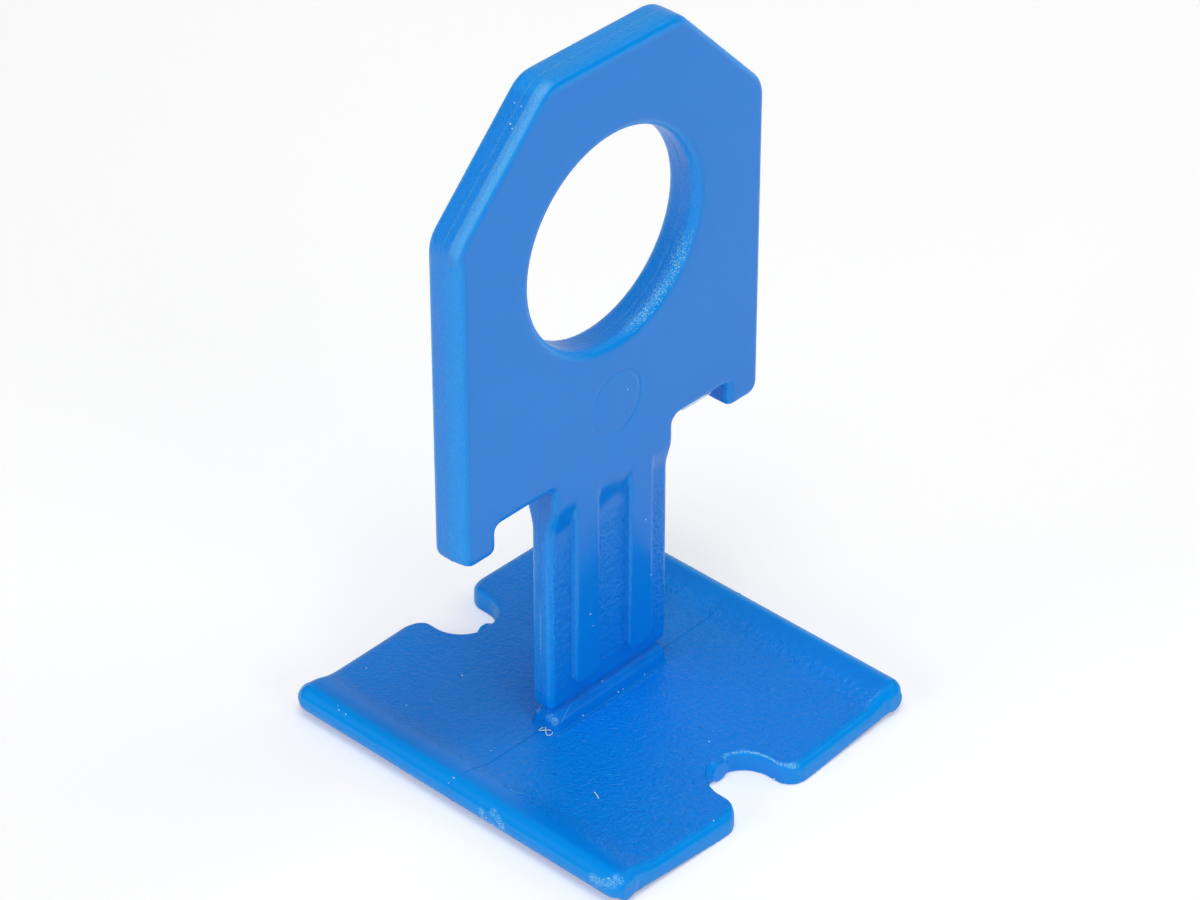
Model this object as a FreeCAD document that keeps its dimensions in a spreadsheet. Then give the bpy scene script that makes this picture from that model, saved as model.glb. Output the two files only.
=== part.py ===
"""Tile levelling clip with a 3 mm joint, moulded in one piece.

The square base slides under two neighbouring tiles.
The flat stem stands in the joint between them.
A slotted wedge is driven between the tiles and the underside of the head.
The two hooks of the head keep the wedge from slipping off sideways.
A kick breaks the stem off at the groove above its foot.

X runs along the head's width, Y through its thickness and Z upwards.
The origin is the middle of the flat that the base rests on.
"""
import FreeCAD, Part
import math
import os
import Sketcher

Vector = FreeCAD.Vector

doc = FreeCAD.newDocument("tile_levelling_clip")
sheet = doc.addObject("Spreadsheet::Sheet", "sizes")


class Length:
    """A size in mm that carries its number and the sheet formula behind it."""

    def __init__(self, number, formula):
        self.number = number
        self.formula = formula

    def _join(self, other, sign, number):
        right = other.formula if isinstance(other, Length) else repr(other)
        return Length(number, "(" + self.formula + sign + right + ")")

    def __add__(self, other):
        return self._join(other, " + ", self.number + plain(other))

    def __sub__(self, other):
        return self._join(other, " - ", self.number - plain(other))

    def __mul__(self, other):
        return self._join(other, " * ", self.number * plain(other))

    def __truediv__(self, other):
        return self._join(other, " / ", self.number / plain(other))

    def __neg__(self):
        return Length(-self.number, "(-" + self.formula + ")")


def smaller(first, second):
    """The smaller of two lengths, also where the sheet changes them."""
    formula = "min(" + first.formula + "; " + second.formula + ")"
    return Length(min(first.number, second.number), formula)


def plain(value):
    """The number of a Length, or the value itself."""
    return value.number if isinstance(value, Length) else value


next_row = 1


def size(alias, value, note):
    """Put one driving dimension in the sheet."""
    global next_row
    row = str(next_row)
    sheet.set("A" + row, note)
    sheet.set("B" + row, str(value))
    sheet.setAlias("B" + row, alias)
    next_row += 1
    return Length(float(value), "sizes." + alias)


# Head
joint_width = size("joint_width", 3.0, "head and rib thickness, which is the tile joint")
underside_height = size("underside_height", 23.4, "edge that the wedge bears on")
head_width = size("head_width", 30.0, "head, hook to hook")
head_height = size("head_height", 32.4, "head from the underside to its top edge")
shoulder_drop = size("shoulder_drop", 8.9, "height of the slanted shoulders")
crown_width = size("crown_width", 12.8, "straight top edge between the slants")
hook_width = size("hook_width", 3.3, "width of one hook")
hook_drop = size("hook_drop", 2.2, "reach of a hook below the underside")
edge_radius = size("edge_radius", 0.6, "rounding of the head and stem edges")
shoulder_radius = size("shoulder_radius", 2.5, "rounding of the four upper corners")
hook_outer_radius = size("hook_outer_radius", 1.0, "outer lower corner of a hook")
hook_inner_radius = size("hook_inner_radius", 0.7, "inner lower corner of a hook")
hook_root_radius = size("hook_root_radius", 0.4, "corner between hook and underside")
hole_diameter = size("hole_diameter", 16.3, "grip hole")
hole_rise = size("hole_rise", 17.55, "hole centre above the underside")
hole_rim_radius = size("hole_rim_radius", 0.8, "rounding of the hole's two rims")
pin_mark_diameter = size("pin_mark_diameter", 4.95, "ejector pin witness")
pin_mark_rise = size("pin_mark_rise", 4.4, "its centre above the underside")
pin_mark_depth = size("pin_mark_depth", 0.08, "its depth in the front face")

# Stem
stem_width = size("stem_width", 12.2, "stem across X")
web_thickness = size("web_thickness", 2.0, "stem between the ribs")
collar_drop = size("collar_drop", 1.7, "from the underside down to the end of the flare")
flare_height = size("flare_height", 2.6, "run of the flare below the collar")
junction_radius = size("junction_radius", 0.6, "corner between stem and underside")
rib_width = size("rib_width", 2.5, "width of a rib")
rib_spacing = size("rib_spacing", 5.5, "rib to rib, centre to centre")
rib_clearance = size("rib_clearance", 0.7, "from the stem's lower end up to the ribs")
rib_end_radius = size("rib_end_radius", 0.9, "rounding of the ribs' lower corners")
rib_edge_radius = size("rib_edge_radius", 0.25, "rounding of the ribs' long edges")

# Break groove and foot
neck_rise = size("neck_rise", 1.55, "from the base's top to the neck's lower end")
neck_run = size("neck_run", 0.35, "height of the neck itself")
neck_thickness = size("neck_thickness", 0.85, "what is left at the groove")
neck_inset = size("neck_inset", 0.5, "how far the groove cuts in at each end")
neck_radius = size("neck_radius", 0.3, "rounded corners of the neck")
groove_rise = size("groove_rise", 0.85, "from the neck up to the full stem")
foot_length = size("foot_length", 11.8, "foot across X")
foot_thickness = size("foot_thickness", 2.5, "foot where it meets the base")
foot_radius = size("foot_radius", 0.45, "rounded corners of the foot")
foot_seat = size("foot_seat", 0.8, "depth that the foot reaches into the base")

# Base
plate_thickness = size("plate_thickness", 1.75, "base at its middle")
dish_radius = size("dish_radius", 430.0, "hollow of the base's top face")
flat_width = size("flat_width", 10.0, "level part of the underside")
end_tuck = size("end_tuck", 0.15, "underside above a bead's lowest line where they meet")
side_span = size("side_span", 31.7, "base across Y at its corners, and the beads' length")
side_bow = size("side_bow", 0.4, "how far each side line rises from corner to middle")
top_radius = size("top_radius", 0.9, "rounding of the base's upper side edges")
bead_spacing = size("bead_spacing", 28.7, "end beads, centre to centre")
bead_diameter = size("bead_diameter", 2.2, "round end bead")
bead_height = size("bead_height", 1.45, "bead axis above the rest face")
bead_end_radius = size("bead_end_radius", 0.95, "rounding of the bead ends")
ramp_run = size("ramp_run", 3.3, "S-shaped ramp from the plate up to a bead")
ramp_bury = size("ramp_bury", 0.02, "depth of the ramp's end below the bead's crest")
button_diameter = size("button_diameter", 1.74, "flat button on each bead end")
button_proud = size("button_proud", 0.125, "how far a button stands out of the bead's end")
button_inset = size("button_inset", 0.25, "button axis inwards of the bead's and below it")
button_radius = size("button_radius", 0.15, "rounding of the buttons")
notch_width = size("notch_width", 5.2, "round-ended notch in each side")
notch_depth = size("notch_depth", 4.9, "notch floor from the middle of the side")
lip_radius = size("lip_radius", 1.5, "rounded lips of a notch")
lip_share = size("lip_share", 0.88, "most of a notch's straight wall that a lip may take")
notch_rim_radius = size("notch_rim_radius", 0.3, "rounding of a notch's upper edge")
gate_diameter = size("gate_diameter", 1.7, "moulding gate left in each notch")
gate_stub = size("gate_stub", 0.4, "how far it stands out of the notch floor")
gate_root = size("gate_root", 0.8, "how far it runs back into the plate")
cut_margin = size("cut_margin", 2.0, "overrun of every cut past the plate")

# Heights and spans that follow from the sizes above
total_height = underside_height + head_height
shoulder_height = total_height - shoulder_drop
hole_height = underside_height + hole_rise
collar_height = underside_height - collar_drop
neck_height = plate_thickness + neck_rise
neck_top = neck_height + neck_run
stem_foot_height = neck_top + groove_rise
rib_foot_height = stem_foot_height + rib_clearance
bead_bottom = bead_height - bead_diameter / 2
apex_span = side_span + side_bow * 2
notch_floor = apex_span - notch_depth * 2

doc.recompute()


# Drawing helpers
def bind(thing, place, length):
    """Tie a property or a sketch constraint to the sheet."""
    thing.setExpression(place, length.formula)


def new_body(name):
    body = doc.addObject("PartDesign::Body", name)
    body.Label = name
    return body


def new_sketch(body, name, role, offset=None):
    """A sketch on one of the body's own origin planes, moved along its normal."""
    plane = [item for item in body.Origin.OriginFeatures if item.Role == role][0]
    sketch = body.newObject("Sketcher::SketchObject", name)
    sketch.AttachmentSupport = [(plane, "")]
    sketch.MapMode = "FlatFace"
    if offset is not None:
        sketch.AttachmentOffset.Base = Vector(0, 0, plain(offset))
        bind(sketch, "AttachmentOffset.Base.z", offset)
    return sketch


def hold(sketch, kind, *where):
    """Add a constraint whose last item may be a Length bound to the sheet."""
    value = where[-1]
    if isinstance(value, Length):
        number = sketch.addConstraint(Sketcher.Constraint(kind, *where[:-1], value.number))
        label = kind.lower() + str(number)
        sketch.renameConstraint(number, label)
        bind(sketch, "Constraints." + label, value)
        return
    sketch.addConstraint(Sketcher.Constraint(kind, *where))


def hold_point(sketch, item, end, across, up):
    """Pin one end of a line or arc to its two coordinates."""
    for kind, value, axis in (("DistanceX", across, -2), ("DistanceY", up, -1)):
        if isinstance(value, Length):
            hold(sketch, kind, -1, 1, item, end, value)
        else:
            hold(sketch, "PointOnObject", item, end, axis)


def polygon(sketch, corners):
    """A closed outline of straight sides through the given corners."""
    points = [Vector(plain(across), plain(up), 0) for across, up in corners]
    first = sketch.GeometryCount
    count = len(points)
    for number in range(count):
        side = Part.LineSegment(points[number], points[(number + 1) % count])
        sketch.addGeometry(side, False)
    for number in range(count):
        following = (number + 1) % count
        hold(sketch, "Coincident", first + number, 2, first + following, 1)
    for number, (across, up) in enumerate(corners):
        hold_point(sketch, first + number, 1, across, up)


def circle(sketch, across, up, diameter):
    centre = Vector(plain(across), plain(up), 0)
    ring = Part.Circle(centre, Vector(0, 0, 1), diameter.number / 2)
    item = sketch.addGeometry(ring, False)
    hold(sketch, "Diameter", item, diameter)
    hold_point(sketch, item, 3, across, up)


def rounded_box(sketch, left, right, bottom, top, radius):
    """A rectangle with four equal rounded corners, drawn anticlockwise."""
    x0, x1, y0, y1, r = (plain(each) for each in (left, right, bottom, top, radius))
    first = sketch.GeometryCount
    ends = (
        ((x0 + r, y0), (x1 - r, y0)),
        ((x1, y0 + r), (x1, y1 - r)),
        ((x1 - r, y1), (x0 + r, y1)),
        ((x0, y1 - r), (x0, y0 + r)),
    )
    centres = ((x1 - r, y0 + r), (x1 - r, y1 - r), (x0 + r, y1 - r), (x0 + r, y0 + r))
    for number in range(4):
        start, end = ends[number]
        sketch.addGeometry(Part.LineSegment(Vector(*start, 0), Vector(*end, 0)), False)
        ring = Part.Circle(Vector(*centres[number], 0), Vector(0, 0, 1), r)
        turn = (number - 1) * math.pi / 2
        sketch.addGeometry(Part.ArcOfCircle(ring, turn, turn + math.pi / 2), False)
    for number in range(4):
        line = first + 2 * number
        arc = line + 1
        following = first + (2 * number + 2) % 8
        hold(sketch, "Tangent", line, 2, arc, 1)
        hold(sketch, "Tangent", arc, 2, following, 1)
    hold(sketch, "Horizontal", first)
    hold(sketch, "Vertical", first + 2)
    hold(sketch, "Horizontal", first + 4)
    hold(sketch, "Vertical", first + 6)
    for number in (1, 2, 3):
        hold(sketch, "Equal", first + 1, first + 1 + 2 * number)
    hold(sketch, "Radius", first + 1, radius)
    hold(sketch, "DistanceY", -1, 1, first, 1, bottom)
    hold(sketch, "DistanceX", -1, 1, first + 2, 1, right)
    hold(sketch, "DistanceY", -1, 1, first + 4, 1, top)
    hold(sketch, "DistanceX", -1, 1, first + 6, 1, left)


def pad_both_ways(body, name, sketch, length):
    """Grow a profile equally to both sides of its plane."""
    pad = body.newObject("PartDesign::Pad", name)
    pad.Profile = sketch
    pad.Length = length.number
    bind(pad, "Length", length)
    pad.Midplane = True
    return pad


def cut_through(body, name, sketch):
    pocket = body.newObject("PartDesign::Pocket", name)
    pocket.Profile = sketch
    pocket.Type = "ThroughAll"
    pocket.Midplane = True
    return pocket


def round_edges(body, name, wanted, radius):
    """Round the edges of the body so far that the test picks out."""
    doc.recompute()
    tip = body.Tip
    picked = []
    for number, edge in enumerate(tip.Shape.Edges, 1):
        if wanted(edge):
            picked.append("Edge" + str(number))
    if not picked:
        raise RuntimeError(name + " finds no edge")
    fillet = body.newObject("PartDesign::Fillet", name)
    fillet.Base = (tip, picked)
    fillet.Radius = radius.number
    bind(fillet, "Radius", radius)
    return fillet


NEAR = 1e-4


def same(first, second):
    return abs(first - plain(second)) < NEAR


def middle(edge):
    """The point half way along an edge."""
    return edge.valueAt((edge.FirstParameter + edge.LastParameter) / 2)


def upright_through(edge, across, up):
    """True for a thickness edge of the head outline at this corner."""
    point = middle(edge)
    crosses = same(point.y, 0) and len(edge.Vertexes) == 2
    return crosses and same(abs(point.x), across) and same(point.z, up)


# Head
def make_head():
    """The plate with its slanted shoulders, hooks, hole and collar."""
    body = new_body("head")
    half = head_width / 2
    inner = half - hook_width
    hook_tip = underside_height - hook_drop
    right_side = [
        (stem_width / 2, collar_height),
        (stem_width / 2, underside_height),
        (inner, underside_height),
        (inner, hook_tip),
        (half, hook_tip),
        (half, shoulder_height),
        (crown_width / 2, total_height),
    ]
    left_side = [(-across, up) for across, up in reversed(right_side)]
    outline = new_sketch(body, "head_outline", "XZ_Plane")
    polygon(outline, right_side + left_side)
    circle(outline, 0, hole_height, hole_diameter)
    pad_both_ways(body, "head_plate", outline, joint_width)

    def corner(across, up):
        return lambda edge: upright_through(edge, across, up)

    round_edges(body, "crown_corners", corner(crown_width / 2, total_height), shoulder_radius)
    round_edges(body, "shoulder_corners", corner(half, shoulder_height), shoulder_radius)
    round_edges(body, "hook_outer_corners", corner(half, hook_tip), hook_outer_radius)
    round_edges(body, "hook_inner_corners", corner(inner, hook_tip), hook_inner_radius)
    round_edges(body, "hook_roots", corner(inner, underside_height), hook_root_radius)
    junction = corner(stem_width / 2, underside_height)
    round_edges(body, "stem_junction", junction, junction_radius)

    def on_a_face(edge):
        return same(abs(middle(edge).y), joint_width / 2)

    def is_hole_rim(edge):
        return on_a_face(edge) and len(edge.Vertexes) == 1

    def is_outer_edge(edge):
        foot = same(middle(edge).z, collar_height)
        return on_a_face(edge) and len(edge.Vertexes) == 2 and not foot

    round_edges(body, "hole_rims", is_hole_rim, hole_rim_radius)
    round_edges(body, "outer_edges", is_outer_edge, edge_radius)

    mark = new_sketch(body, "pin_mark_outline", "XZ_Plane", joint_width / 2)
    circle(mark, 0, underside_height + pin_mark_rise, pin_mark_diameter)
    dent = body.newObject("PartDesign::Pocket", "pin_mark")
    dent.Profile = mark
    dent.Length = pin_mark_depth.number
    bind(dent, "Length", pin_mark_depth)
    return body


# Stem
def make_stem():
    """Foot, break groove, web and flare, lofted upwards as one column."""
    body = new_body("stem")
    growth = joint_width - web_thickness
    flare_start = collar_height - flare_height
    neck_width = stem_width - neck_inset * 2
    seat = plate_thickness - foot_seat
    levels = [(seat, foot_length, foot_thickness, foot_radius)]

    def bulging(full_width, full_depth, full_radius, share):
        """The section this far into a rounded end, from full size to the neck."""
        bulge = math.sqrt(1 - share * share)
        width = neck_width + (full_width - neck_width) * bulge
        depth = neck_thickness + (full_depth - neck_thickness) * bulge
        radius = neck_radius + (full_radius - neck_radius) * bulge
        return width, depth, radius

    shares = (0, 0.3, 0.55, 0.75, 0.88, 0.96, 1)
    for share in shares:
        level = plate_thickness + (neck_height - plate_thickness) * share
        levels.append((level, *bulging(foot_length, foot_thickness, foot_radius, share)))
    for share in reversed(shares):
        level = neck_top + groove_rise * (1 - share)
        levels.append((level, *bulging(stem_width, web_thickness, edge_radius, share)))
    levels.append((flare_start, stem_width, web_thickness, edge_radius))
    # The flare is an S-curve, so a few levels follow a smooth step.
    steps = 6
    for number in range(1, steps + 1):
        share = number / steps
        swell = share * share * (3 - 2 * share)
        level = flare_start + flare_height * share
        levels.append((level, stem_width, web_thickness + growth * swell, edge_radius))
    # The top of the column is buried in the collar of the head.
    levels.append((underside_height, stem_width - edge_radius * 2, web_thickness, edge_radius))
    sections = []
    for number, (level, width, depth, radius) in enumerate(levels):
        sketch = new_sketch(body, "stem_level_" + str(number), "XY_Plane", level)
        rounded_box(sketch, -width / 2, width / 2, -depth / 2, depth / 2, radius)
        sections.append(sketch)
    loft = body.newObject("PartDesign::AdditiveLoft", "stem_column")
    loft.Profile = sections[0]
    loft.Sections = sections[1:]
    loft.Ruled = True
    return body


def make_rib(name, centre):
    """One rib, standing out of both faces of the web to the joint's width."""
    body = new_body(name)
    sketch = new_sketch(body, name + "_outline", "XZ_Plane")
    left = centre - rib_width / 2
    right = centre + rib_width / 2
    rounded_box(sketch, left, right, rib_foot_height, underside_height, rib_end_radius)
    pad_both_ways(body, name + "_pad", sketch, joint_width)

    def is_long_edge(edge):
        return same(abs(middle(edge).y), joint_width / 2)

    round_edges(body, name + "_edges", is_long_edge, rib_edge_radius)
    return body


# Base
def make_plate():
    """The dished plate with its lifted underside and notched sides."""
    body = new_body("plate")
    end = bead_spacing / 2
    toe = end - ramp_run
    end_top = bead_height + bead_diameter / 2 - ramp_bury
    profile = new_sketch(body, "plate_profile", "XZ_Plane")

    dish_top = plate_thickness.number + dish_radius.number
    reach = toe.number
    toe_level = dish_top - math.sqrt(dish_radius.number ** 2 - reach ** 2)
    ring = Part.Circle(Vector(0, dish_top, 0), Vector(0, 0, 1), dish_radius.number)
    swing = math.asin(reach / dish_radius.number)
    down = -math.pi / 2
    dish = profile.addGeometry(Part.ArcOfCircle(ring, down - swing, down + swing), False)
    hold(profile, "Radius", dish, dish_radius)
    hold_point(profile, dish, 3, 0, plate_thickness + dish_radius)
    hold(profile, "DistanceX", -1, 1, dish, 1, -toe)
    hold(profile, "DistanceX", -1, 1, dish, 2, toe)

    def ramp(side):
        """Two equal arcs, tangent to the dish, to each other and level at the bead."""
        start = Vector(side * toe.number, toe_level, 0)
        stop = Vector(side * end.number, end_top.number, 0)
        rising = Vector(-side * math.sin(swing), math.cos(swing), 0)
        both = rising + Vector(0, 1, 0)
        gap = start - stop
        lean = gap.dot(both)
        root = math.sqrt(lean ** 2 + (4 - both.dot(both)) * gap.dot(gap))
        radius = gap.dot(gap) / (root - lean)
        low_centre = start + rising * radius
        high_centre = stop - Vector(0, radius, 0)
        turn = (low_centre - high_centre) / 2
        meeting = high_centre + turn

        def arc(centre, first, last):
            ring = Part.Circle(centre, Vector(0, 0, 1), radius)
            angles = [math.atan2(p.y - centre.y, p.x - centre.x) for p in (first, last)]
            piece = Part.ArcOfCircle(ring, min(angles), max(angles))
            return profile.addGeometry(piece, False)

        low = arc(low_centre, start, meeting)
        high = arc(high_centre, meeting, stop)
        near, far = (1, 2) if side > 0 else (2, 1)
        hold(profile, "Tangent", dish, far, low, near)
        hold(profile, "Tangent", low, far, high, far)
        hold(profile, "Equal", low, high)
        hold_point(profile, high, near, end * side, end_top)
        hold(profile, "DistanceX", -1, 1, high, 3, end * side)
        return high, near

    right_ramp, right_end = ramp(1)
    left_ramp, left_end = ramp(-1)

    lift = bead_bottom + end_tuck
    underside = [
        (end, lift),
        (flat_width / 2, 0),
        (-flat_width / 2, 0),
        (-end, lift),
    ]
    points = [Vector(end.number, end_top.number, 0)]
    points += [Vector(plain(across), plain(up), 0) for across, up in underside]
    points.append(Vector(-end.number, end_top.number, 0))
    lines = []
    for start, stop in zip(points, points[1:]):
        lines.append(profile.addGeometry(Part.LineSegment(start, stop), False))
    for before, after in zip(lines, lines[1:]):
        hold(profile, "Coincident", before, 2, after, 1)
    hold(profile, "Coincident", right_ramp, right_end, lines[0], 1)
    hold(profile, "Coincident", left_ramp, left_end, lines[-1], 2)
    for line, (across, up) in zip(lines[1:], underside):
        hold_point(profile, line, 1, across, up)
    pad_both_ways(body, "plate_slab", profile, apex_span + cut_margin)

    # Each side runs out in two straight lines from the corners to the middle.
    plan = new_sketch(body, "plan_outline", "XY_Plane")
    half_length = bead_spacing / 2
    frame_x = half_length + cut_margin
    frame_y = apex_span / 2 + cut_margin
    polygon(plan, [
        (frame_x, frame_y),
        (-frame_x, frame_y),
        (-frame_x, -frame_y),
        (frame_x, -frame_y),
    ])
    clear_x = half_length + cut_margin / 2
    polygon(plan, [
        (clear_x, side_span / 2),
        (half_length, side_span / 2),
        (0, apex_span / 2),
        (-half_length, side_span / 2),
        (-clear_x, side_span / 2),
        (-clear_x, -side_span / 2),
        (-half_length, -side_span / 2),
        (0, -apex_span / 2),
        (half_length, -side_span / 2),
        (clear_x, -side_span / 2),
    ])
    cut_through(body, "side_lines", plan)

    for side, name in ((1, "back_notch"), (-1, "front_notch")):
        sketch = new_sketch(body, name + "_outline", "XY_Plane")
        draw_notch(sketch, side)
        cut_through(body, name, sketch)

    notch_centre = notch_floor + notch_width

    def is_lip(edge):
        ends = [vertex.Point for vertex in edge.Vertexes]
        return len(ends) == 2 and all(
            same(abs(p.x), notch_width / 2) and abs(p.y) * 2 > notch_centre.number + NEAR
            for p in ends)

    notch_wall = (apex_span - notch_centre) / 2
    round_edges(body, "notch_lips", is_lip, smaller(lip_radius, notch_wall * lip_share))

    return round_upper_edges(body)


def round_upper_edges(plate):
    """Round the upper edges: wide on the sides, fine round a notch, growing over its lips."""
    doc.recompute()
    notch_edge = notch_width.number / 2 + NEAR
    radii = []
    for number, edge in enumerate(plate.Shape.Edges, 1):
        point = middle(edge)
        on_top = point.z > plate_thickness.number - NEAR
        at_bead = same(abs(point.x), bead_spacing / 2)
        across_plate = same(point.y, 0)
        if not on_top or at_bead or across_plate:
            continue
        radius = [number]
        for parameter in (edge.FirstParameter, edge.LastParameter):
            in_notch = abs(edge.valueAt(parameter).x) < notch_edge
            radius.append(notch_rim_radius.number if in_notch else top_radius.number)
        radii.append(tuple(radius))
    rounded = doc.addObject("Part::Fillet", "rounded_plate")
    rounded.Base = plate
    rounded.Edges = radii
    return rounded


def draw_notch(sketch, side):
    """A straight-sided slot that ends in a half circle."""
    half = notch_width / 2
    centre = (notch_floor / 2 + half) * side
    mouth = (apex_span / 2 + cut_margin) * side
    level = centre.number
    opening = mouth.number
    reach = half.number
    ring = Part.Circle(Vector(0, level, 0), Vector(0, 0, 1), reach)
    turn = math.pi if side > 0 else 0.0
    arc = sketch.addGeometry(Part.ArcOfCircle(ring, turn, turn + math.pi), False)
    start_x = -reach if side > 0 else reach
    corners = [
        Vector(-start_x, level, 0),
        Vector(-start_x, opening, 0),
        Vector(start_x, opening, 0),
        Vector(start_x, level, 0),
    ]
    lines = []
    for start, stop in zip(corners, corners[1:]):
        lines.append(sketch.addGeometry(Part.LineSegment(start, stop), False))
    hold(sketch, "Tangent", arc, 2, lines[0], 1)
    hold(sketch, "Coincident", lines[0], 2, lines[1], 1)
    hold(sketch, "Coincident", lines[1], 2, lines[2], 1)
    hold(sketch, "Tangent", lines[2], 2, arc, 1)
    hold(sketch, "Horizontal", lines[1])
    hold(sketch, "Vertical", lines[0])
    hold(sketch, "Radius", arc, half)
    hold_point(sketch, arc, 3, 0, centre)
    hold(sketch, "DistanceY", -1, 1, lines[1], 1, mouth)


def make_bead(name, side):
    """A round bead along one end of the base, with softened ends."""
    body = new_body(name)
    sketch = new_sketch(body, name + "_section", "XY_Plane")
    radius = bead_diameter / 2
    half = side_span / 2
    soft = bead_end_radius.number
    r, y = radius.number, half.number
    turn = Vector(0, 0, 1)
    low_ring = Part.Circle(Vector(r - soft, soft - y, 0), turn, soft)
    high_ring = Part.Circle(Vector(r - soft, y - soft, 0), turn, soft)
    items = [
        Part.LineSegment(Vector(0, -y, 0), Vector(r - soft, -y, 0)),
        Part.ArcOfCircle(low_ring, -math.pi / 2, 0),
        Part.LineSegment(Vector(r, soft - y, 0), Vector(r, y - soft, 0)),
        Part.ArcOfCircle(high_ring, 0, math.pi / 2),
        Part.LineSegment(Vector(r - soft, y, 0), Vector(0, y, 0)),
        Part.LineSegment(Vector(0, y, 0), Vector(0, -y, 0)),
    ]
    for item in items:
        sketch.addGeometry(item, False)
    for number in range(4):
        hold(sketch, "Tangent", number, 2, number + 1, 1)
    hold(sketch, "Coincident", 4, 2, 5, 1)
    hold(sketch, "Coincident", 5, 2, 0, 1)
    hold(sketch, "Horizontal", 0)
    hold(sketch, "Vertical", 2)
    hold(sketch, "Horizontal", 4)
    hold(sketch, "Equal", 1, 3)
    hold(sketch, "Radius", 1, bead_end_radius)
    hold_point(sketch, 0, 1, 0, -half)
    hold_point(sketch, 4, 2, 0, half)
    hold(sketch, "DistanceX", -1, 1, 2, 1, radius)
    spin = body.newObject("PartDesign::Revolution", name + "_turned")
    spin.Profile = sketch
    spin.ReferenceAxis = (sketch, ["V_Axis"])
    spin.Angle = 360.0
    place_x = bead_spacing / 2 * side
    body.Placement.Base = Vector(place_x.number, 0, bead_height.number)
    bind(body, "Placement.Base.x", place_x)
    bind(body, "Placement.Base.z", bead_height)
    return body


def make_button(name, side):
    """The flat buttons on both ends of one bead, drawn as one pin through it."""
    body = new_body(name)
    sketch = new_sketch(body, name + "_outline", "XZ_Plane")
    across = (bead_spacing / 2 - button_inset) * side
    circle(sketch, across, bead_height - button_inset, button_diameter)
    length = side_span + button_proud * 2
    pad_both_ways(body, name + "_pin", sketch, length)

    def is_rim(edge):
        return same(abs(middle(edge).y), length / 2)

    round_edges(body, name + "_rims", is_rim, button_radius)
    return body


def make_gate(name, side):
    """The round stub that is left where the moulding gate was cut off."""
    stub = doc.addObject("Part::Cylinder", name)
    stub.Label = name
    bind(stub, "Radius", gate_diameter / 2)
    bind(stub, "Height", gate_stub + gate_root)
    rear = (notch_floor / 2 - gate_root) * side
    toward_notch = FreeCAD.Rotation(Vector(1, 0, 0), -90 * side)
    stub.Placement = FreeCAD.Placement(Vector(0, 0, 0), toward_notch)
    bind(stub, "Placement.Base.y", rear)
    bind(stub, "Placement.Base.z", plate_thickness / 2)
    return stub


# The whole clip
pieces = [
    make_plate(),
    make_bead("right_bead", 1),
    make_bead("left_bead", -1),
    make_button("right_button", 1),
    make_button("left_button", -1),
    make_gate("front_gate", -1),
    make_gate("back_gate", 1),
    make_stem(),
    make_rib("right_rib", rib_spacing / 2),
    make_rib("left_rib", -rib_spacing / 2),
    make_head(),
]
clip = doc.addObject("Part::MultiFuse", "clip")
clip.Label = "levelling_clip"
clip.Shapes = pieces
clip.Refine = True
doc.recompute()

for item in doc.Objects:
    if "Invalid" in item.State or "Error" in item.State:
        raise RuntimeError(item.Name + " did not build: " + str(item.State))
for item in pieces + [clip]:
    if item.Shape.isNull() or not item.Shape.isValid():
        raise RuntimeError(item.Label + " has no valid shape")
if len(clip.Shape.Solids) != 1:
    raise RuntimeError("the clip is in " + str(len(clip.Shape.Solids)) + " pieces")

os.makedirs("parts", exist_ok=True)
clip.Shape.exportStep("parts/" + clip.Label + ".step")

box = clip.Shape.BoundBox
print("levelling_clip", round(box.XLength, 3), round(box.YLength, 3), round(box.ZLength, 3),
      "lowest", round(box.ZMin, 4), "volume", round(clip.Shape.Volume, 2))
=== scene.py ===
"""Looks of the tile levelling clip: one moulded piece of blue polypropylene on a white studio sheet.

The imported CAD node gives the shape. The visible piece is a softened copy of it, with the small
things that a mould and handling leave: parting line, grain, an ejector pin ring, flash and specks.
Sizes here are in millimetres, and mm() turns them into metres. The camera's and the lamps' places
and the sheet are in metres.
"""
import math

import bpy
import bmesh
from mathutils import Matrix, Vector


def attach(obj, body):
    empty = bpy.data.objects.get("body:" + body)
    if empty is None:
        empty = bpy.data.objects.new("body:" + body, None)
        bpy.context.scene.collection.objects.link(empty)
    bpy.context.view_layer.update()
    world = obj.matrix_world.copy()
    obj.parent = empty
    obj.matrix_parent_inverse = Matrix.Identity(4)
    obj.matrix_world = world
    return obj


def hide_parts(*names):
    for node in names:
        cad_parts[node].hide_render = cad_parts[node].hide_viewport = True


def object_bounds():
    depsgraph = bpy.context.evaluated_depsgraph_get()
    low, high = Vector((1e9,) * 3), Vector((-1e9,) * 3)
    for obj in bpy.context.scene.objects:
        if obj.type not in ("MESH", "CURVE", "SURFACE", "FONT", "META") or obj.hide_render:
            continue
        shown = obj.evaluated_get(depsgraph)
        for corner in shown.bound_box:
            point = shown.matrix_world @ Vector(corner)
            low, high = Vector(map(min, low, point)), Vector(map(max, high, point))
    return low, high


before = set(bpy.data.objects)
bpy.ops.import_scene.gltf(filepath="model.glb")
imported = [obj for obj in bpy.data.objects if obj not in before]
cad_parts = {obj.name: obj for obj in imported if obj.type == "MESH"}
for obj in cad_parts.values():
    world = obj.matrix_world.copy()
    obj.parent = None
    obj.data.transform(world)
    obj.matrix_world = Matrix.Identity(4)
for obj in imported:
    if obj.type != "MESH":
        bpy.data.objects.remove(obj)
cad_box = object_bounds()


def mm(*values):
    """Millimetres as metres: one number, or a vector of three."""
    return values[0] / 1000 if len(values) == 1 else Vector(values) / 1000


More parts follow.
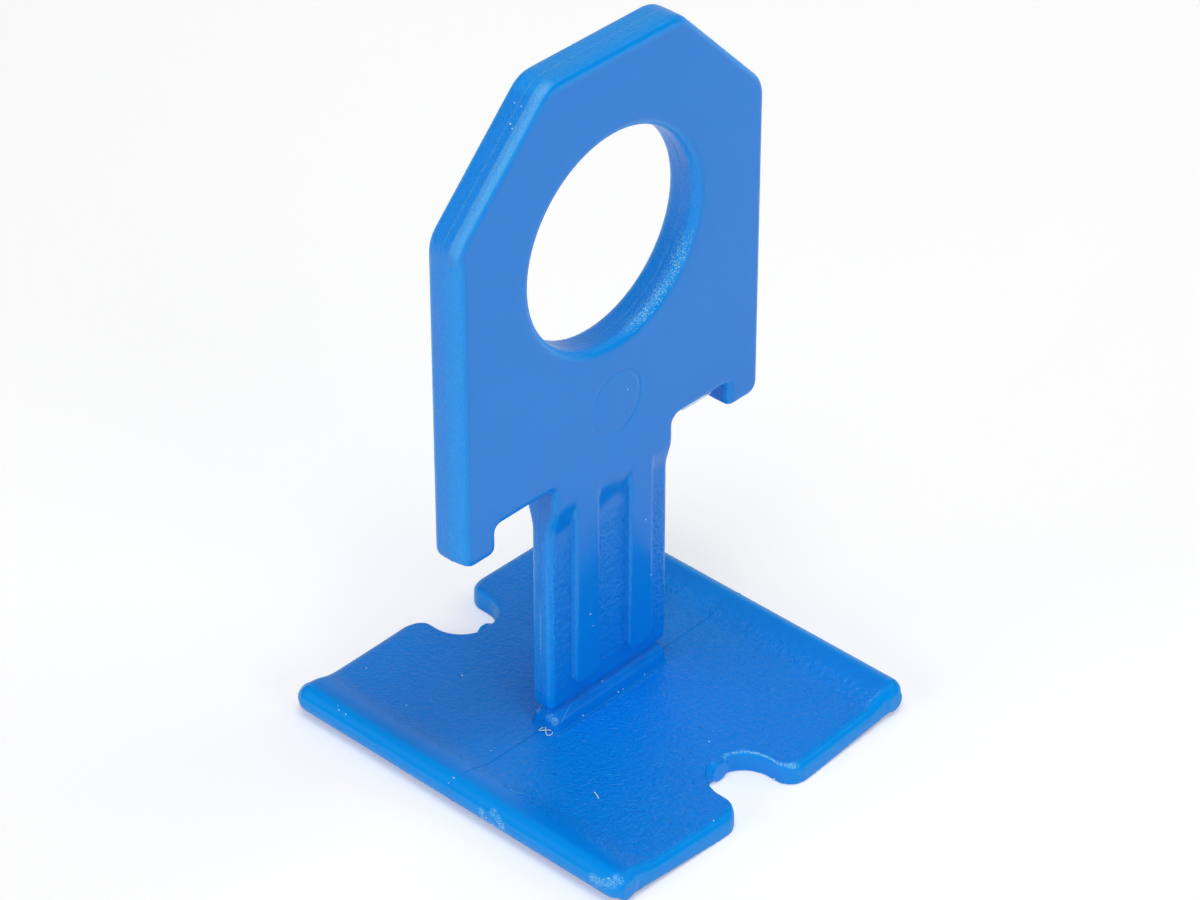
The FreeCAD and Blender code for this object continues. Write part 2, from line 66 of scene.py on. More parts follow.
def linear(hex_colour):
    """An sRGB hex colour as the linear colour that shaders take."""
    channels = [int(hex_colour[i:i + 2], 16) / 255 for i in (1, 3, 5)]
    return [c / 12.92 if c <= 0.04045 else ((c + 0.055) / 1.055) ** 2.4 for c in channels] + [1]


def add(tree, kind, inputs=None, **settings):
    """Adds a node. An input that is a socket is linked, and any other value is set."""
    made = tree.nodes.new(kind)
    for name, value in settings.items():
        setattr(made, name, value)
    for name, value in (inputs or {}).items():
        if isinstance(value, bpy.types.NodeSocket):
            tree.links.new(value, made.inputs[name])
        else:
            made.inputs[name].default_value = value
    return made


def empty_material(name):
    """A material without nodes, and its tree."""
    material = bpy.data.materials.new(name)
    material.use_nodes = True
    material.node_tree.nodes.clear()
    return material, material.node_tree


# Camera at the photograph's viewing angle

def make_camera():
    """A long lens in front of the clip, to its left and above it."""
    place = (-0.191239, -0.178867, 0.209327)
    back = Vector((-0.59516, -0.55664, 0.57960))
    right = Vector((0, 0, 1)).cross(back).normalized()
    up = back.cross(right)
    data = bpy.data.cameras.new("camera")
    data.lens = 138.91
    data.sensor_width = 36
    data.clip_start = 0.01
    camera = bpy.data.objects.new("camera", data)
    turn = Matrix((right, up, back)).transposed().to_4x4()
    camera.matrix_world = Matrix.Translation(place) @ turn
    bpy.context.scene.collection.objects.link(camera)
    bpy.context.scene.camera = camera


# Materials

def zone(tree, *bands):
    """A mask that is 1 where every value is past its band's second number, and 0 before its first."""
    mask = None
    for value, outside, inside in bands:
        band = add(tree, "ShaderNodeMapRange", {"Value": value, "From Min": outside, "From Max": inside},
                   interpolation_type="SMOOTHSTEP").outputs["Result"]
        mask = band if mask is None else add(tree, "ShaderNodeMath", {0: mask, 1: band},
                                             operation="MULTIPLY").outputs[0]
    return mask


def near(tree, in_mm, places):
    """A mask of round blots. Each place is x, y, z and the distance at which its blot has faded out."""
    mask = None
    for *place, reach in places:
        gap = add(tree, "ShaderNodeVectorMath", {0: in_mm, 1: place}, operation="DISTANCE").outputs["Value"]
        blot = zone(tree, (gap, reach, 0.5 * reach))
        mask = blot if mask is None else add(tree, "ShaderNodeMath", {0: mask, 1: blot},
                                             operation="MAXIMUM").outputs[0]
    return mask


# Places painted whitish, partly rubbed skin and partly painted glints: x, y, z and reach in mm
SCUFFS_AND_GLINTS = (
    # a ring on the left bead
    (-15.4, -3.1, 1.65, 0.4), (-15.4, -3.3, 1.15, 0.45), (-15.4, -4.1, 1.0, 0.45), (-15.4, -4.9, 1.05, 0.45),
    (-15.4, -5.4, 0.8, 0.4), (-15.4, -5.1, 1.5, 0.4), (-15.4, -4.7, 1.85, 0.4), (-15.3, -4.1, 2.1, 0.4),
    # a streak round the front corner
    (-15.4, -13.7, 1.8, 0.45), (-15.4, -14.2, 1.75, 0.5), (-15.3, -14.7, 1.8, 0.5),
    (-15.0, -15.2, 1.95, 0.5), (-14.6, -15.5, 2.1, 0.4),
    # the foot's left end
    (-5.7, -0.9, 2.8, 0.4), (-5.7, -0.4, 2.9, 0.35), (-5.7, 0.7, 3.0, 0.3),
)


# Blues: the clip's own, a brighter blue for the painted glow of edges, and a whitish blue for rubbed skin
# and for painted glints and highlights
DEEP_BLUE = "#008BF1"
FRESH_BLUE = "#048FF7"
# painted glow: a brighter blue on edges and near-floor sides, standing in for light through thin plastic
PAINTED_EDGE_GLOW_BLUE = "#009DFF"
# whitish blue of rubbed skin and flash, also painted as glints and highlights
RUBBED_AND_GLINT_BLUE = "#96DEFF"


def skin_places(tree, in_mm, normal):
    """Masks of the places where the skin differs, by name. Levels are in mm, and facings run to 1."""
    spot = add(tree, "ShaderNodeSeparateXYZ", {"Vector": in_mm}).outputs
    facing = add(tree, "ShaderNodeSeparateXYZ", {"Vector": normal}).outputs
    away_x, away_y, facing_y, facing_z = (
        add(tree, "ShaderNodeMath", {0: value}, operation="ABSOLUTE").outputs[0]
        for value in (spot["X"], spot["Y"], facing["Y"], facing["Z"]))
    outer = add(tree, "ShaderNodeMath", {0: away_x, 1: away_y}, operation="MAXIMUM").outputs[0]
    level = spot["Z"]
    low_down = (level, 2.9, 2.7)
    at_seam = (away_y, 0.07, 0.03)
    rounded = ((facing_y, 0.98, 0.88), (facing_y, 0.1, 0.3))
    return {
        # grained by the eroded tool
        "base": zone(tree, (level, 2.6, 2.1), (facing_z, 0.80, 0.95), (away_x, 14.6, 13.8)),
        "recess": zone(tree, (level, 4.5, 6.0), (level, 19.5, 17.0), (facing_y, 0.8, 0.95),
                       (away_y, 1.42, 1.3)),
        "side": zone(tree, (level, 4.5, 5.5), (facing_y, 0.9, 0.6)),
        # edges and near-floor sides, painted a brighter blue as a painted glow
        "base rim": zone(tree, low_down, (facing_z, 0.97, 0.85), (outer, 7.0, 8.0)),
        "head rim": zone(tree, (level, 24.0, 25.0), *rounded),
        "stem rim": zone(tree, (level, 3.0, 4.0), (level, 25.0, 24.0), *rounded),
        "bead rim": zone(tree, low_down, (away_x, 13.9, 14.7)),
        "crown rim": zone(tree, (level, 54.8, 55.3)),
        # whitish: painted glints, painted highlights, and rubbed skin and flash
        "hole wall": zone(tree, (level, 31.8, 32.3), (level, 38.5, 37.0), (away_x, 9.0, 8.8),
                          (spot["X"], 0.8, 2.5), (spot["Y"], -0.2, -0.8), (facing_y, 0.9, 0.8)),
        "notch rim": zone(tree, (spot["X"], 0.2, 0.9), (spot["X"], 3.9, 3.2), (spot["Y"], -10.9, -11.1),
                          (level, 1.1, 1.3), (facing_z, 0.4, 0.65), (facing_z, 0.95, 0.88)),
        "head edge": zone(tree, (level, 46.0, 47.0), (spot["X"], -5.5, -6.5), (spot["Y"], -0.5, -0.7),
                          (facing_y, 0.85, 0.7)),
        # whitish flash along the seam on the head and the stem, partly a painted highlight
        "high flash and highlight": zone(tree, (level, 31.0, 31.5), (away_x, 14.9, 14.6), at_seam),
        "stem flash and highlight": zone(tree, (level, 7.0, 9.0), (level, 14.0, 12.0), (away_x, 5.4, 5.7),
                           (away_x, 7.5, 7.0), at_seam),
        "scuffs and glints": near(tree, in_mm, SCUFFS_AND_GLINTS),
    }


def moulded_polypropylene():
    """Blue polypropylene, injection moulded in a spark-eroded tool.

    To the eye: one strong blue that goes all through, a satin skin that turns pale where it
    mirrors the white sheet, and fine orange peel where the tool was eroded. Edges and the sides
    near the sheet are painted a brighter blue, a painted glow for light through thin plastic.
    Whitish blue is painted in places: painted glints on the hole's wall and the notch's rim, a
    painted highlight on the head's left edge, rubbed skin with painted glints on the rubbed places,
    the flash along the parting line with a painted highlight on it and, faintly, a painted sparkle
    on the craters of the sides.
    """
    material, tree = empty_material("polypropylene_blue_moulded")
    place = add(tree, "ShaderNodeTexCoord")
    in_mm = add(tree, "ShaderNodeMapping", {"Vector": place.outputs["Object"],
                                            "Scale": (1000, 1000, 1000)}).outputs[0]
    on = skin_places(tree, in_mm, place.outputs["Normal"])

    # orange peel of the eroded steel, 0.35 mm from crest to crest
    peel = add(tree, "ShaderNodeTexNoise", {"Vector": in_mm, "Scale": 2.8, "Detail": 2, "Roughness": 0.5,
                                            "Distortion": 0.8}).outputs["Fac"]
    # spark craters, 0.17 mm
    craters = add(tree, "ShaderNodeTexNoise", {"Vector": in_mm, "Scale": 6, "Detail": 1,
                                               "Roughness": 0.5}).outputs["Fac"]
    # slow sink waves of the cooling skin, 5 mm
    waves = add(tree, "ShaderNodeTexNoise", {"Vector": in_mm, "Scale": 0.2, "Detail": 1}).outputs["Fac"]
    # fine noise, 0.08 mm, that breaks up the painted glints and the rubbed places
    glints = add(tree, "ShaderNodeTexNoise", {"Vector": in_mm, "Scale": 13, "Detail": 0}).outputs["Fac"]

    eroded = add(tree, "ShaderNodeMath", {0: on["base"], 1: on["recess"]}, operation="ADD").outputs[0]
    height = None
    # each pattern with the place it keeps to and its depth in mm
    for pattern, share, depth in ((peel, eroded, 0.13), (craters, on["side"], 0.07), (peel, None, 0.008),
                                  (waves, None, 0.03)):
        grown = add(tree, "ShaderNodeMath", {0: pattern, 1: depth}, operation="MULTIPLY").outputs[0]
        if share is not None:
            grown = add(tree, "ShaderNodeMath", {0: grown, 1: share}, operation="MULTIPLY").outputs[0]
        height = grown if height is None else add(tree, "ShaderNodeMath", {0: height, 1: grown},
                                                  operation="ADD").outputs[0]
    bump = add(tree, "ShaderNodeBump", {"Height": height, "Strength": 1.0, "Distance": mm(1)})
    grained = add(tree, "ShaderNodeMath", {0: eroded, 1: on["side"]}, operation="ADD").outputs[0]
    roughness = add(tree, "ShaderNodeMapRange", {"Value": grained, "To Min": 0.2, "To Max": 0.3})

    tint = add(tree, "ShaderNodeMix", {"Factor": waves, "A": linear(DEEP_BLUE), "B": linear(FRESH_BLUE)},
               data_type="RGBA").outputs[2]
    # painted glow: the rims and the sides near the sheet are lightened to a brighter blue
    for rim in ("base rim", "head rim", "stem rim", "bead rim", "crown rim"):
        tint = add(tree, "ShaderNodeMix", {"Factor": on[rim], "A": tint, "B": linear(PAINTED_EDGE_GLOW_BLUE)},
                   data_type="RGBA").outputs[2]
    sparse = zone(tree, (glints, 0.60, 0.66))
    crisp = zone(tree, (glints, 0.49, 0.57))
    hazy = zone(tree, (glints, -0.1, 1.1))
    mottled = zone(tree, (craters, 0.15, 0.75))
    # each whitish place with the pattern that breaks it up and how white it gets: painted glints on the
    # hole's wall and the notch's rim, a faint painted sparkle on the sides, rubbed skin with painted glints,
    # a painted highlight on the head's edge, and flash with a painted highlight
    for where, pattern, white in (("hole wall", sparse, 1.0), ("side", mottled, 0.07),
                                  ("notch rim", crisp, 1.0), ("scuffs and glints", crisp, 0.65),
                                  ("head edge", hazy, 0.5), ("high flash and highlight", mottled, 0.3),
                                  ("stem flash and highlight", mottled, 0.6)):
        share = add(tree, "ShaderNodeMath", {0: pattern, 1: on[where]}, operation="MULTIPLY").outputs[0]
        share = add(tree, "ShaderNodeMath", {0: share, 1: white}, operation="MULTIPLY").outputs[0]
        tint = add(tree, "ShaderNodeMix", {"Factor": share, "A": tint, "B": linear(RUBBED_AND_GLINT_BLUE)},
                   data_type="RGBA").outputs[2]
    shader = add(tree, "ShaderNodeBsdfPrincipled", {
        "Base Color": tint, "Roughness": roughness.outputs["Result"], "IOR": 1.42,
        "Subsurface Weight": 0.15, "Subsurface Radius": (0.1, 0.5, 1.0), "Subsurface Scale": mm(0.3),
        "Normal": bump.outputs[0]})
    add(tree, "ShaderNodeOutputMaterial", {"Surface": shader.outputs[0]})
    return material


def loose_polypropylene(name, pale, paler):
    """The same polypropylene in loose threads and shavings: stretched, so it is whitish and glints."""
    material, tree = empty_material(name)
    place = add(tree, "ShaderNodeTexCoord")
    # streaks along a strand, 0.3 mm
    streaks = add(tree, "ShaderNodeTexNoise", {"Vector": place.outputs["Object"], "Scale": 3000,
                                               "Detail": 1})
    tint = add(tree, "ShaderNodeMix", {"Factor": streaks.outputs["Fac"], "A": linear(pale),
                                       "B": linear(paler)}, data_type="RGBA")
    shader = add(tree, "ShaderNodeBsdfPrincipled", {"Base Color": tint.outputs[2], "Roughness": 0.3,
                                                    "IOR": 1.49})
    add(tree, "ShaderNodeOutputMaterial", {"Surface": shader.outputs[0]})
    return material


SHEET_GLOW = 0.32       # lifts the lit sheet to plain white
SHADOW_REACH = 60       # mm within which the clip's own shadow dims what it mirrors of the sheet


def white_sheet():
    """Matt white paper: shows as plain white and keeps the soft shadow under the clip."""
    material, tree = empty_material("paper_white_matt")
    rays = add(tree, "ShaderNodeLightPath")
    seen = rays.outputs["Is Camera Ray"]
    for kind in ("Is Glossy Ray", "Is Transmission Ray"):
        seen = add(tree, "ShaderNodeMath", {0: seen, 1: rays.outputs[kind]}, operation="MAXIMUM").outputs[0]
    clear = zone(tree, (rays.outputs["Ray Length"], 0.0, mm(SHADOW_REACH)))
    shown = add(tree, "ShaderNodeMath", {0: seen, 1: clear}, operation="MULTIPLY").outputs[0]
    glow = add(tree, "ShaderNodeMath", {0: shown, 1: SHEET_GLOW}, operation="MULTIPLY")
    paper = add(tree, "ShaderNodeBsdfDiffuse", {"Color": linear("#F6F6F6")})
    light = add(tree, "ShaderNodeEmission", {"Color": (1, 1, 1, 1), "Strength": glow.outputs[0]})
    both = add(tree, "ShaderNodeAddShader", {0: paper.outputs[0], 1: light.outputs[0]})
    add(tree, "ShaderNodeOutputMaterial", {"Surface": both.outputs[0]})
    return material


# The clip's skin, softened from the CAD node. All sizes are in mm.

PIN_CENTRE = (0.0, 27.8)    # ejector pin on the front face, x and z
PIN_RADIUS = 2.475
PIN_REACH = 0.6             # how far outside the disc the ring has faded out
GROOVE_LEAST = 0.012        # the ring's depth on its left
GROOVE_EXTRA = 0.07         # how much deeper it is on its right
GROOVE_WIDTH = 0.09
DISC_DROP = 0.012
DISC_EDGE = 0.05
FRONT_FACE = -1.5
FACE_BAND = 0.2             # how far behind the front face a vertex may lie to count as on it

LEAN = 0.3                  # of the head's left side, at the front face
LEAN_FULL_AT = 1.3          # how far in front of the parting line it is full
LEAN_INNER = 13.0           # how far left of the middle it begins
LEAN_BLEND = 2.0
SHOULDER = 46.4             # the level at which it ends
SHOULDER_BLEND = 0.8
ABOVE_BASE = 16             # a level between the base and the head's sides

VOXEL = 0.1
SOFTENING = 8               # smoothing passes
SKIN_TRIANGLES = 190000


def new_piece(name, mesh):
    """An object in the scene with this mesh, at the origin."""
    piece = bpy.data.objects.new(name, mesh)
    bpy.context.scene.collection.objects.link(piece)
    return piece


def evaluated(piece):
    """The piece's mesh with its modifiers applied."""
    bpy.context.view_layer.update()
    return bpy.data.meshes.new_from_object(piece.evaluated_get(bpy.context.evaluated_depsgraph_get()))


def cut_pin_ring(mesh):
    """The shallow ring that an ejector pin leaves: a fine groove round a disc that is nearly flush."""
    for vertex in mesh.vertices:
        x, y, z = (value * 1000 for value in vertex.co)
        reach = math.hypot(x - PIN_CENTRE[0], z - PIN_CENTRE[1])
        if reach < PIN_RADIUS + PIN_REACH and y < FRONT_FACE + FACE_BAND:
            past = reach - PIN_RADIUS
            rightness = 0.5 + 0.5 * (x - PIN_CENTRE[0]) / max(reach, 0.1)
            groove = (GROOVE_LEAST + GROOVE_EXTRA * rightness) * math.exp(-(past / GROOVE_WIDTH) ** 2)
            disc = DISC_DROP / (1 + math.exp(past / DISC_EDGE))
            vertex.co.y = mm(FRONT_FACE + groove + disc)


def draft_head_side(mesh):
    """The front half of the head's left upright side leans in, as seen in the photograph."""
    for vertex in mesh.vertices:
        x, y, z = (value * 1000 for value in vertex.co)
        outward = min(max((-x - LEAN_INNER) / LEAN_BLEND, 0), 1)
        below_shoulder = min(max((SHOULDER - z) / SHOULDER_BLEND, 0), 1)
        if y < 0 and z > ABOVE_BASE and outward > 0:
            vertex.co.x += mm(LEAN * min(-y / LEAN_FULL_AT, 1) * outward * below_shoulder)


def keep_in_box(mesh):
    """Moves what lies outside the CAD part's box back to its sides."""
    low, high = cad_box
    for vertex in mesh.vertices:
        vertex.co = [min(max(value, least), most) for value, least, most in zip(vertex.co, low, high)]


def make_skin(material):
    """The CAD node's shape with its edges and creases softened, as a plain mesh."""
    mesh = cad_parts["levelling_clip"].data.copy()
    work = bmesh.new()
    work.from_mesh(mesh)
    bmesh.ops.remove_doubles(work, verts=work.verts, dist=mm(0.001))
    work.to_mesh(mesh)
    work.free()
    # turned askew first: along an edge that lies with the voxels they would leave steps
    askew = Matrix.Rotation(math.radians(37), 4, (1, 2, 3))
    mesh.transform(askew)
    piece = new_piece("clip_skin", mesh)
    remesh = piece.modifiers.new("voxels", "REMESH")
    remesh.mode = "VOXEL"
    remesh.voxel_size = mm(VOXEL)
    soften = piece.modifiers.new("soften", "SMOOTH")
    soften.factor = 0.5
    soften.iterations = SOFTENING
    fine = evaluated(piece)
    piece.modifiers.clear()
    fine.transform(askew.inverted())
    piece.data = fine
    cut_pin_ring(fine)
    draft_head_side(fine)
    thin = piece.modifiers.new("thin", "DECIMATE")
    thin.ratio = SKIN_TRIANGLES / (2 * len(fine.polygons))
    mesh = evaluated(piece)
    piece.modifiers.clear()
    piece.data = mesh
    keep_in_box(mesh)
    mesh.shade_smooth()
    mesh.materials.clear()
    mesh.materials.append(material)
    return piece


# Geometry Nodes trees

def new_tree(name, sockets):
    """An empty tree with a Geometry input and output, and one named input for each size."""
    tree = bpy.data.node_groups.new(name, "GeometryNodeTree")
    tree.interface.new_socket("Geometry", in_out="INPUT", socket_type="NodeSocketGeometry")
    for label, kind in sockets:
        tree.interface.new_socket(label, in_out="INPUT", socket_type="NodeSocket" + kind)
    tree.interface.new_socket("Geometry", in_out="OUTPUT", socket_type="NodeSocketGeometry")
    return tree, add(tree, "NodeGroupInput").outputs


def close_tree(tree, geometry, material):
    """Ends a tree in real geometry of one material."""
    plain = add(tree, "GeometryNodeRealizeInstances", {"Geometry": geometry})
    painted = add(tree, "GeometryNodeSetMaterial", {"Geometry": plain.outputs[0], "Material": material})
    add(tree, "NodeGroupOutput", {"Geometry": painted.outputs[0]})


def run_tree(piece, tree, **values):
    """Runs a tree on a piece and returns the resulting plain mesh."""
    modifier = piece.modifiers.new(tree.name, "NODES")
    modifier.node_group = tree
    for socket in tree.interface.items_tree:
        if socket.in_out == "INPUT" and socket.name in values:
            modifier[socket.identifier] = values[socket.name]
    mesh = evaluated(piece)
    piece.modifiers.remove(modifier)
    return mesh


def line_tree():
    """A thin line along the edges of a mesh, that wanders and thins a little."""
    tree, given = new_tree("thin_line", (("Radius", "Float"), ("Share above foot", "Float"),
                                         ("Spacing", "Float"), ("Wander", "Float"),
                                         ("Material", "Material")))
    path = add(tree, "GeometryNodeMeshToCurve", {"Mesh": given["Geometry"]})
    even = add(tree, "GeometryNodeResampleCurve", {"Curve": path.outputs[0], "Length": given["Spacing"]},
               mode="LENGTH")
    where = add(tree, "GeometryNodeInputPosition")
    # one bend about every 1.4 mm
    drift = add(tree, "ShaderNodeTexNoise", {"Vector": where.outputs[0], "Scale": 700, "Detail": 1})
    centred = add(tree, "ShaderNodeVectorMath", {0: drift.outputs["Color"], 1: (0.5, 0.5, 0.5)},
                  operation="SUBTRACT")
    offset = add(tree, "ShaderNodeVectorMath", {0: centred.outputs[0], "Scale": given["Wander"]},
                 operation="SCALE")
    moved = add(tree, "GeometryNodeSetPosition", {"Geometry": even.outputs[0], "Offset": offset.outputs[0]})
    profile = add(tree, "GeometryNodeCurvePrimitiveCircle", {"Resolution": 6, "Radius": given["Radius"]})
    uneven = add(tree, "ShaderNodeMapRange", {"Value": drift.outputs["Fac"], "From Min": 0.3,
                                              "From Max": 0.6, "To Min": 0.6, "To Max": 1.0})
    level = add(tree, "ShaderNodeSeparateXYZ", {"Vector": where.outputs[0]})
    fade = add(tree, "ShaderNodeMapRange", {"Value": level.outputs["Z"], "From Min": mm(4),
                                            "From Max": mm(6), "To Min": 1.0,
                                            "To Max": given["Share above foot"]})
    thickness = add(tree, "ShaderNodeMath", {0: uneven.outputs["Result"], 1: fade.outputs["Result"]},
                    operation="MULTIPLY")
    tube = add(tree, "GeometryNodeCurveToMesh", {"Curve": moved.outputs[0],
                                                 "Profile Curve": profile.outputs[0],
                                                 "Scale": thickness.outputs[0], "Fill Caps": True})
    soft = add(tree, "GeometryNodeSetShadeSmooth", {"Geometry": tube.outputs[0]})
    close_tree(tree, soft.outputs[0], given["Material"])
    return tree


def speck_tree():
    """A small flattened grain on each point of a mesh, each of another size and turn."""
    tree, given = new_tree("specks", (("Smallest", "Float"), ("Largest", "Float"), ("Seed", "Int"),
                                      ("Material", "Material")))
    grain = add(tree, "GeometryNodeMeshIcoSphere", {"Radius": 1.0, "Subdivisions": 2})
    flat = add(tree, "GeometryNodeTransform", {"Geometry": grain.outputs["Mesh"], "Scale": (1.0, 0.7, 0.6)})
    size = add(tree, "FunctionNodeRandomValue", {"Seed": given["Seed"]}, data_type="FLOAT")
    tree.links.new(given["Smallest"], size.inputs[2])
    tree.links.new(given["Largest"], size.inputs[3])
    turn = add(tree, "FunctionNodeRandomValue", {0: (0, 0, 0), 1: (math.tau, math.tau, math.tau),
                                                 "Seed": given["Seed"]}, data_type="FLOAT_VECTOR")
    grains = add(tree, "GeometryNodeInstanceOnPoints", {
        "Points": given["Geometry"], "Instance": flat.outputs[0], "Rotation": turn.outputs[0],
        "Scale": size.outputs[1]})
    close_tree(tree, grains.outputs[0], given["Material"])
    return tree


# Parting line, specks and strands. Places and sizes are in mm.

HEAD_SIDE = 14.8        # past this x the tool is flush on the head's outer sides
SEAM_RADIUS = 0.04
SEAM_ABOVE_FOOT = 0.55  # share of the radius that is left above the foot
SEAM_SPACING = 0.25
SEAM_WANDER = 0.02
SMALLEST_SPECK = 0.05   # radius
LARGEST_SPECK = 0.09
STRAND_SPACING = 0.06
STRAND_WANDER = 0.03


def make_parting_line(skin, tree, material):
    """The line where the two mould halves met: the skin's own section at y = 0."""
    work = bmesh.new()
    work.from_mesh(skin.data)
    cut = bmesh.ops.bisect_plane(work, geom=work.verts[:] + work.edges[:] + work.faces[:], dist=1e-7,
                                 plane_co=(0, 0, 0), plane_no=(0, 1, 0))["geom_cut"]
    kept = {item for item in cut if isinstance(item, bmesh.types.BMEdge)}
    bmesh.ops.delete(work, geom=[edge for edge in work.edges if edge not in kept], context="EDGES_FACES")
    flush = [edge for edge in work.edges
             if all(abs(v.co.x) > mm(HEAD_SIDE) and v.co.z > mm(ABOVE_BASE) for v in edge.verts)]
    bmesh.ops.delete(work, geom=flush, context="EDGES_FACES")
    loose = [vertex for vertex in work.verts if not vertex.link_edges]
    bmesh.ops.delete(work, geom=loose, context="VERTS")
    mesh = bpy.data.meshes.new("section")
    work.to_mesh(mesh)
    work.free()
    piece = new_piece("parting_line", mesh)
    piece.data = run_tree(piece, tree, **{"Radius": mm(SEAM_RADIUS), "Share above foot": SEAM_ABOVE_FOOT,
                                          "Spacing": mm(SEAM_SPACING), "Wander": mm(SEAM_WANDER),
                                          "Material": material})
    keep_in_box(piece.data)
    return piece


SPECKS = (
    # on the left bead
    (-14.9, 11.6, 2.4), (-14.9, 10.9, 2.4), (-14.7, 11.9, 2.5), (-15.2, 0.3, 2.2), (-14.8, 0.2, 2.5),
    (-15.4, -3.2, 1.6), (-15.4, -3.6, 1.4), (-15.4, -4.9, 1.6), (-15.4, -5.2, 1.5), (-15.1, -14.9, 2.3),
    # on the base and its lips, and three more on the left bead
    (-9.7, 14.1, 1.9), (-10.8, 8.9, 1.9), (-5.5, 8.5, 1.8), (-10.3, 0.9, 1.9), (1.1, -9.6, 1.8),
    (-5.1, -15.6, 1.7), (2.6, -14.5, 0.2), (-15.4, -3.2, 1.1), (-15.4, -4.1, 1.0), (-15.4, -5.4, 0.8),
    # on the foot
    (3.4, -1.2, 2.0), (-0.4, -0.6, 3.2), (1.1, -1.2, 2.0), (0.6, -1.2, 2.0), (-3.1, -1.2, 2.0),
    # on the head's left shoulder and its pin mark
    (-7.7, 0.3, 54.4), (-7.7, -0.3, 54.4), (-8.7, -0.2, 53.5), (-8.8, -0.5, 53.3), (1.2, -1.5, 28.3),
    # on the ribs
    (-2.6, -1.5, 11.0), (-2.3, -1.5, 9.8), (3.1, -1.5, 16.2), (3.7, -1.5, 11.0),
)


def make_specks(skin, material):
    """Single specks of dust and shavings, seated on the skin."""
    mesh = bpy.data.meshes.new("specks")
    mesh.from_pydata([skin.closest_point_on_mesh(mm(*place))[1] for place in SPECKS], [], [])
    piece = new_piece("dust_specks", mesh)
    piece.data = run_tree(piece, speck_tree(), Smallest=mm(SMALLEST_SPECK), Largest=mm(LARGEST_SPECK),
                          Seed=7, Material=material)
    keep_in_box(piece.data)
    return piece


def arc(start, through, end):
    """A bent path from start to end, 12 steps, that passes near the middle point."""
    start, through, end = Vector(start), Vector(through), Vector(end)
    steps = [step / 12 for step in range(13)]
    return [(1 - t) ** 2 * start + 2 * t * (1 - t) * through + t ** 2 * end for t in steps]


def curl(centre, length, width, lift):
    """A figure of eight that lies on the base along Y, with its crossing lifted."""
    turns = [6.2 * step / 40 for step in range(41)]
    return [Vector(centre) + Vector((width / 2 * math.sin(2 * t), length / 2 * math.cos(t),
                                     lift * math.sin(t) ** 2)) for t in turns]


STRANDS = (
    # name, path in mm, radius, whether it is a white shaving
    ("strand_curl", curl((-6.12, -0.45, 1.87), 1.0, 0.55, 0.15), 0.06, True),
    ("strand_bead", arc((-12.4, -2.8, 2.18), (-13.5, -3.9, 2.5), (-12.4, -4.35, 2.18)), 0.03, False),
    ("strand_base", arc((-8.7, -7.6, 1.88), (-8.8, -7.9, 1.95), (-9.0, -8.3, 1.88)), 0.06, True),
    ("flash_right_hook", arc((7.0, -1.38, 23.57), (8.3, -1.4, 23.53), (9.9, -1.38, 23.57)), 0.045, True),
    ("strand_foot", arc((-3.9, -0.78, 3.22), (-4.8, -1.1, 3.0), (-5.7, -1.15, 2.1)), 0.03, False),
)


def make_strand(name, path, radius, tree, material):
    """A loose thread or shaving along a path in mm."""
    mesh = bpy.data.meshes.new(name)
    mesh.from_pydata([point / 1000 for point in path], [(i, i + 1) for i in range(len(path) - 1)], [])
    piece = new_piece(name, mesh)
    piece.data = run_tree(piece, tree, **{"Radius": mm(radius), "Share above foot": 1.0,
                                          "Spacing": mm(STRAND_SPACING), "Wander": mm(STRAND_WANDER),
                                          "Material": material})
    return piece


# Studio. Distances are in metres, and angles in degrees.

SHEET_REACH = 3
WORLD_LEVEL = 0.04

LAMPS = (
    # name, azimuth, elevation, distance, width, level, whether the clip mirrors it
    ("lamp_top", 0, 88, 0.9, 0.8, 0.22, True),
    ("lamp_front_top", -47, 72, 0.9, 0.5, 0.32, True),
    ("panel_back", 133, 32, 0.8, 0.7, 0.026, True),
    ("panel_back_low", 133, 6, 0.9, 0.8, 0.115, True),
    ("panel_left", -133, 35, 0.9, 0.6, 0.03, True),
    ("fill_left", -100, 15, 0.9, 0.5, 0.31, False),
    ("fill_front", -10, 15, 0.9, 0.5, 0.23, False),
    ("fill_right", 60, 40, 0.9, 0.5, 0.16, False),
)


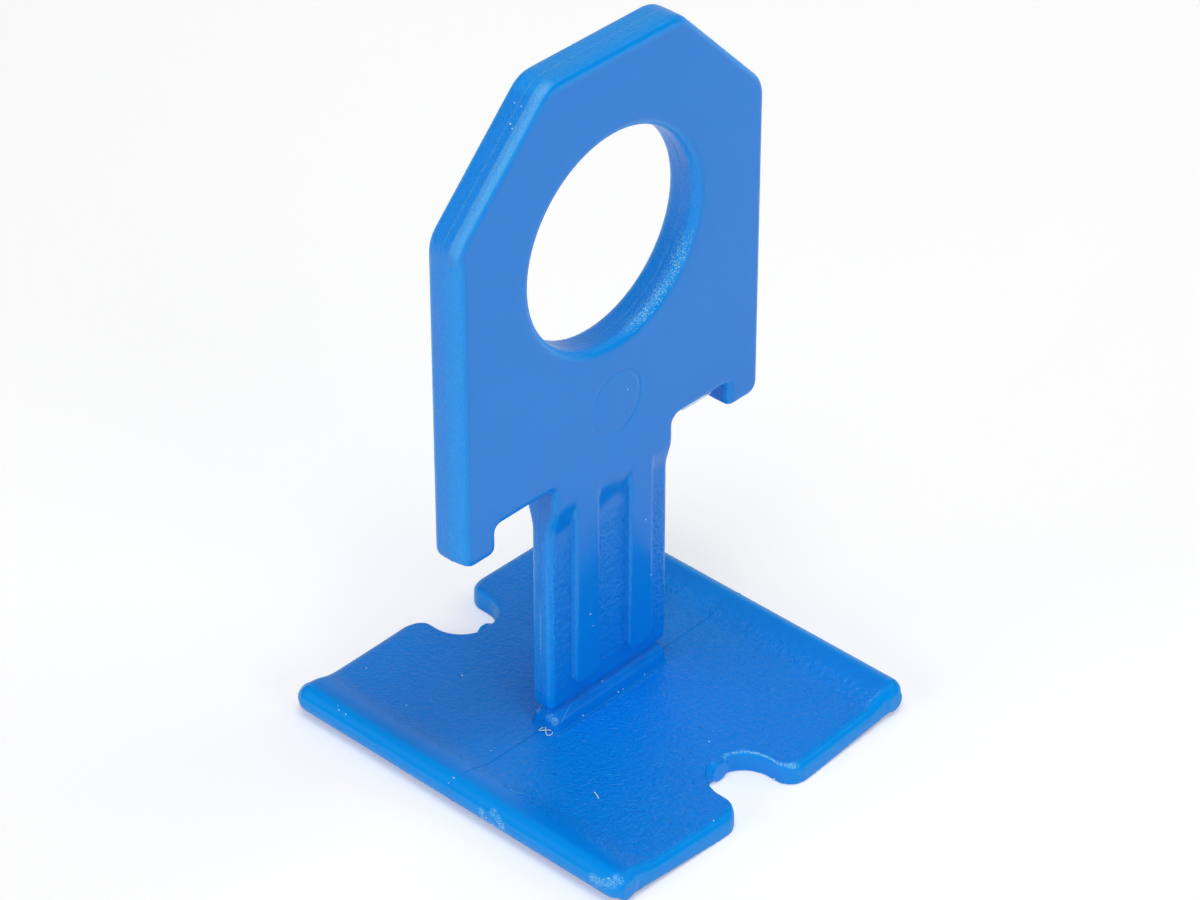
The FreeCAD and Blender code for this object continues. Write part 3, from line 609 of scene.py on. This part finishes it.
def make_floor():
    """The white sheet, wide enough to fill every view."""
    work = bmesh.new()
    bmesh.ops.create_grid(work, x_segments=1, y_segments=1, size=SHEET_REACH)
    mesh = bpy.data.meshes.new("sheet")
    work.to_mesh(mesh)
    work.free()
    mesh.materials.append(white_sheet())
    return new_piece("sheet", mesh)


def make_lamp(name, azimuth, elevation, distance, width, level, mirrored):
    """A soft square lamp that looks at the clip. Level 1 alone would show white paper as white."""
    aim = mm(0, 0, 20)
    turn, lift = math.radians(azimuth), math.radians(elevation)
    offset = distance * Vector((math.sin(turn) * math.cos(lift), -math.cos(turn) * math.cos(lift),
                                math.sin(lift)))
    data = bpy.data.lights.new(name, "AREA")
    data.shape = "SQUARE"
    data.size = width
    data.energy = level * math.pi ** 2 * offset.length_squared
    lamp = bpy.data.objects.new(name, data)
    lamp.location = aim + offset
    lamp.rotation_euler = offset.to_track_quat("Z", "Y").to_euler()
    lamp.visible_glossy = mirrored
    bpy.context.scene.collection.objects.link(lamp)


def make_studio():
    """Soft lamps and panels all round, in a dim even room."""
    world = bpy.data.worlds.new("studio")
    world.use_nodes = True
    bpy.context.scene.world = world
    tree = world.node_tree
    tree.nodes.clear()
    sky = add(tree, "ShaderNodeBackground", {"Color": (1, 1, 1, 1), "Strength": WORLD_LEVEL})
    add(tree, "ShaderNodeOutputWorld", {"Surface": sky.outputs[0]})
    for lamp in LAMPS:
        make_lamp(*lamp)


make_camera()
make_studio()
floor = make_floor()
blue = moulded_polypropylene()
threads = loose_polypropylene("polypropylene_blue_thread", "#2A9CF8", "#6CC8FF")
shavings = loose_polypropylene("polypropylene_white_shavings", "#B8F2FF", "#F0FFFF")
thin_line = line_tree()
skin = make_skin(blue)
pieces = [skin, make_parting_line(skin, thin_line, blue), make_specks(skin, shavings)]
for name, path, radius, is_white in STRANDS:
    pieces.append(make_strand(name, path, radius, thin_line, shavings if is_white else threads))
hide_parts("levelling_clip")
for piece in pieces:
    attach(piece, "root")

bpy.context.scene.view_settings.view_transform = "Standard"
